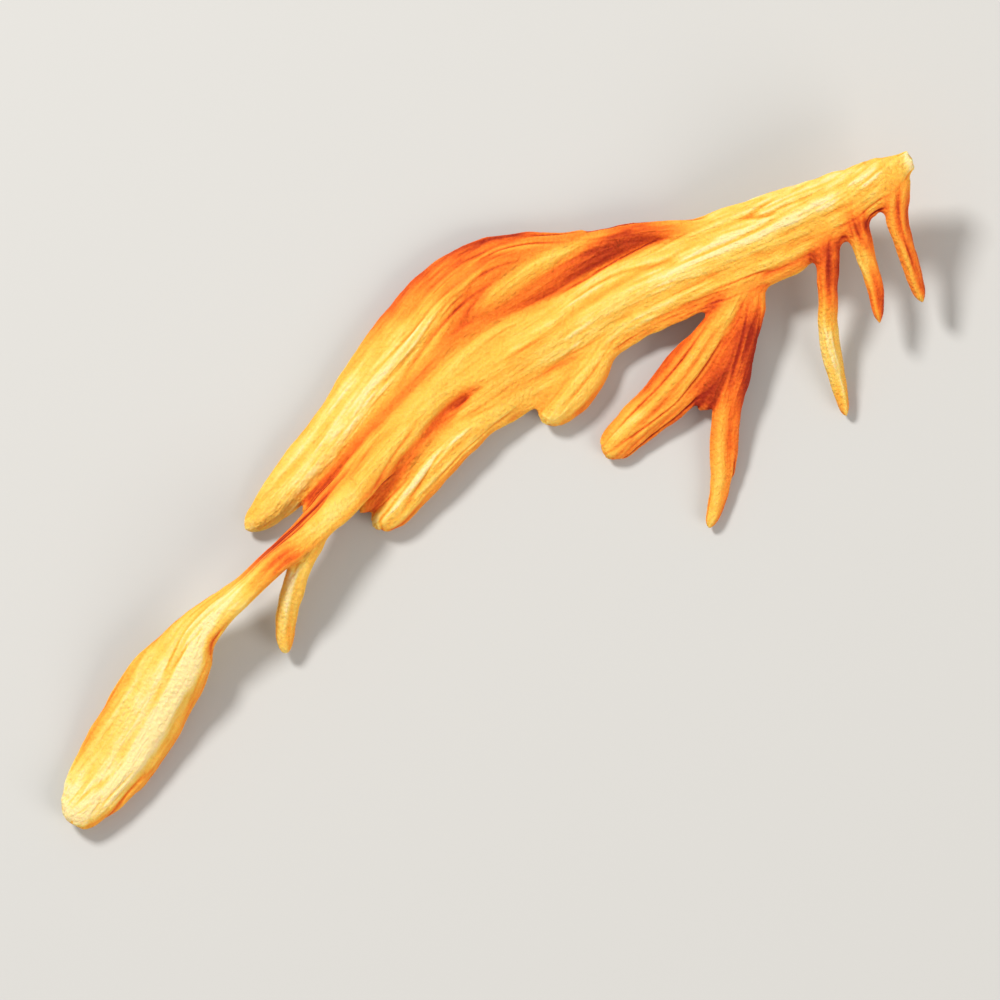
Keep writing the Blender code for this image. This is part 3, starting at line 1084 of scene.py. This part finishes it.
def attribute(tree, name, output="Fac"):
    made = node(tree, "ShaderNodeAttribute", attribute_type="GEOMETRY", attribute_name=name)
    return made.outputs[output]


def maths(tree, operation, first, second):
    made = node(tree, "ShaderNodeMath", operation=operation)
    for socket, value in zip(made.inputs, (first, second)):
        if isinstance(value, (int, float)):
            socket.default_value = value
        else:
            tree.links.new(value, socket)
    return made.outputs["Value"]


def objectPlace(tree):
    return node(tree, "ShaderNodeTexCoord").outputs["Object"]


def noiseTexture(tree, place, scale, detail=4.0, rough=0.5):
    made = node(tree, "ShaderNodeTexNoise")
    tree.links.new(place, made.inputs["Vector"])
    made.inputs["Scale"].default_value = scale
    made.inputs["Detail"].default_value = detail
    made.inputs["Roughness"].default_value = rough
    return made.outputs["Fac"]


def centred(tree, value):
    return maths(tree, "SUBTRACT", value, 0.5)


def fibreNoise(tree, look):
    # Noise drawn out along each strand, around 0, which fades where strands meet
    stretched = node(tree, "ShaderNodeVectorMath", operation="MULTIPLY")
    tree.links.new(attribute(tree, "fibre", "Vector"), stretched.inputs[0])
    stretched.inputs[1].default_value = (look["along"], look["across"], look["across"])
    value = noiseTexture(tree, stretched.outputs["Vector"], 1.0, **flesh["fibre"])
    return maths(tree, "MULTIPLY", centred(tree, value), attribute(tree, "alone"))


def weighed(tree, parts, start=None):
    # The sum of every value times its amount
    total = start
    for value, amount in parts:
        term = maths(tree, "MULTIPLY", value, amount)
        total = term if total is None else maths(tree, "ADD", total, term)
    return total


def addColour(tree, shader, threads):
    grain = noiseTexture(tree, objectPlace(tree), flesh["grain"]["scale"], flesh["grain"]["detail"])
    blotches = noiseTexture(tree, objectPlace(tree), flesh["blotches"]["scale"])
    parts = [(attribute(tree, name), amount) for name, amount in flesh["painted"].items()]
    parts.append((threads, flesh["threads"]["tone"]))
    parts.append((fibreNoise(tree, flesh["streaks"]), flesh["streaks"]["tone"]))
    parts.append((centred(tree, blotches), flesh["blotches"]["tone"]))
    parts.append((centred(tree, grain), flesh["grain"]["tone"]))
    tone = weighed(tree, parts, attribute(tree, "tone"))

    ramp = node(tree, "ShaderNodeValToRGB")
    stops = ramp.color_ramp.elements
    for place, _ in flesh["stops"][1:-1]:
        stops.new(place)
    for stop, (place, colour) in zip(stops, flesh["stops"]):
        stop.position = place
        stop.color = (*colour, 1)
    tree.links.new(tone, ramp.inputs["Fac"])
    tree.links.new(ramp.outputs["Color"], shader.inputs["Base Color"])


def addRoughness(tree, shader, threads):
    roughness = node(tree, "ShaderNodeMapRange")
    tree.links.new(threads, roughness.inputs["Value"])
    limits = (*flesh["threadRange"], *flesh["roughness"])
    for name, value in zip(("From Min", "From Max", "To Min", "To Max"), limits):
        roughness.inputs[name].default_value = value
    tree.links.new(roughness.outputs["Result"], shader.inputs["Roughness"])


def addBump(tree, shader, threads):
    dimples, pits = flesh["dimples"], flesh["pits"]
    dimpled = noiseTexture(
        tree, objectPlace(tree), dimples["scale"], dimples["detail"], dimples["rough"]
    )
    pitted = node(tree, "ShaderNodeTexVoronoi")
    tree.links.new(objectPlace(tree), pitted.inputs["Vector"])
    pitted.inputs["Scale"].default_value = pits["scale"]
    parts = [
        (threads, flesh["threads"]["bump"]),
        (dimpled, dimples["bump"]),
        (pitted.outputs["Distance"], pits["bump"]),
    ]
    bump = node(tree, "ShaderNodeBump")
    bump.inputs["Strength"].default_value = 1.0
    bump.inputs["Distance"].default_value = flesh["bumpDistance"]
    tree.links.new(weighed(tree, parts), bump.inputs["Height"])
    tree.links.new(bump.outputs["Normal"], shader.inputs["Normal"])


def fleshMaterial():
    material = bpy.data.materials.new("driedFlesh")
    material.use_nodes = True
    tree = material.node_tree
    shader = tree.nodes["Principled BSDF"]
    threads = fibreNoise(tree, flesh["threads"])
    addColour(tree, shader, threads)
    addRoughness(tree, shader, threads)
    addBump(tree, shader, threads)
    shader.inputs["Subsurface Weight"].default_value = flesh["subsurface"]
    shader.inputs["Subsurface Radius"].default_value = flesh["subsurfaceRadius"]
    shader.inputs["Subsurface Scale"].default_value = flesh["subsurfaceScale"]
    shader.inputs["Specular IOR Level"].default_value = flesh["specular"]
    return material


mesh.materials.append(fleshMaterial())
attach(cordyceps, "root")
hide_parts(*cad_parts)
print("material made")

studio = {
    "turn": -37.6,  # degrees: the frame's +X then runs up to the right, as photographed
    "aim": (0.00028, -0.00231, 0.002),
    "side": 0.062,  # width of what the camera sees
    "lens": 400,
    "sensor": 36,
    "clip": (0.01, 5),
    "floor": (0.55, 0.555, 0.55),
    "floorRoughness": 0.9,
    "floorSide": 2.0,
    "world": (1.0, 0.97, 0.93),
    "worldStrength": 0.44,
}
lights = {  # a light's place is across and up the picture, and above the floor
    "key": {"size": 0.14, "power": 3.9, "place": (-0.30, 0.32, 0.44), "colour": (1.0, 0.97, 0.93)},
    "fill": {"size": 0.40, "power": 1.7, "place": (0.42, -0.28, 0.35), "colour": (1.0, 0.93, 0.84)},
}


def inFrame(acrossPicture, upPicture, height):
    turn = math.radians(studio["turn"])
    x = acrossPicture * math.cos(turn) - upPicture * math.sin(turn)
    y = acrossPicture * math.sin(turn) + upPicture * math.cos(turn)
    return Vector((x, y, height))


def addLight(name, look):
    data = bpy.data.lights.new(name, "AREA")
    data.shape = "DISK"
    data.size = look["size"]
    data.energy = look["power"]
    data.color = look["colour"]
    light = bpy.data.objects.new(name, data)
    light.location = inFrame(*look["place"])
    aim = Vector(studio["aim"])
    light.rotation_euler = (aim - light.location).to_track_quat("-Z", "Y").to_euler()
    bpy.context.scene.collection.objects.link(light)


def addFloor():
    half = studio["floorSide"] / 2
    sheet = bpy.data.meshes.new("floor")
    corners = [(-half, -half, 0), (half, -half, 0), (half, half, 0), (-half, half, 0)]
    sheet.from_pydata(corners, [], [(0, 1, 2, 3)])
    material = bpy.data.materials.new("paleFloor")
    material.use_nodes = True
    shader = material.node_tree.nodes["Principled BSDF"]
    shader.inputs["Base Color"].default_value = (*studio["floor"], 1)
    shader.inputs["Roughness"].default_value = studio["floorRoughness"]
    sheet.materials.append(material)
    floor = bpy.data.objects.new("floor", sheet)
    bpy.context.scene.collection.objects.link(floor)


def addCamera():
    data = bpy.data.cameras.new("camera")
    data.lens = studio["lens"]
    data.sensor_width = studio["sensor"]
    data.clip_start, data.clip_end = studio["clip"]
    camera = bpy.data.objects.new("camera", data)
    distance = studio["side"] * studio["lens"] / studio["sensor"]
    camera.location = Vector(studio["aim"]) + Vector((0, 0, distance))
    camera.rotation_euler = (0, 0, math.radians(studio["turn"]))
    bpy.context.scene.collection.objects.link(camera)
    bpy.context.scene.camera = camera


def addWorld():
    world = bpy.data.worlds.new("studio")
    world.use_nodes = True
    background = world.node_tree.nodes["Background"]
    background.inputs["Color"].default_value = (*studio["world"], 1)
    background.inputs["Strength"].default_value = studio["worldStrength"]
    bpy.context.scene.world = world


addFloor()
addCamera()
for name, look in lights.items():
    addLight(name, look)
addWorld()
bpy.context.scene.view_settings.view_transform = "Standard"
print("studio set")
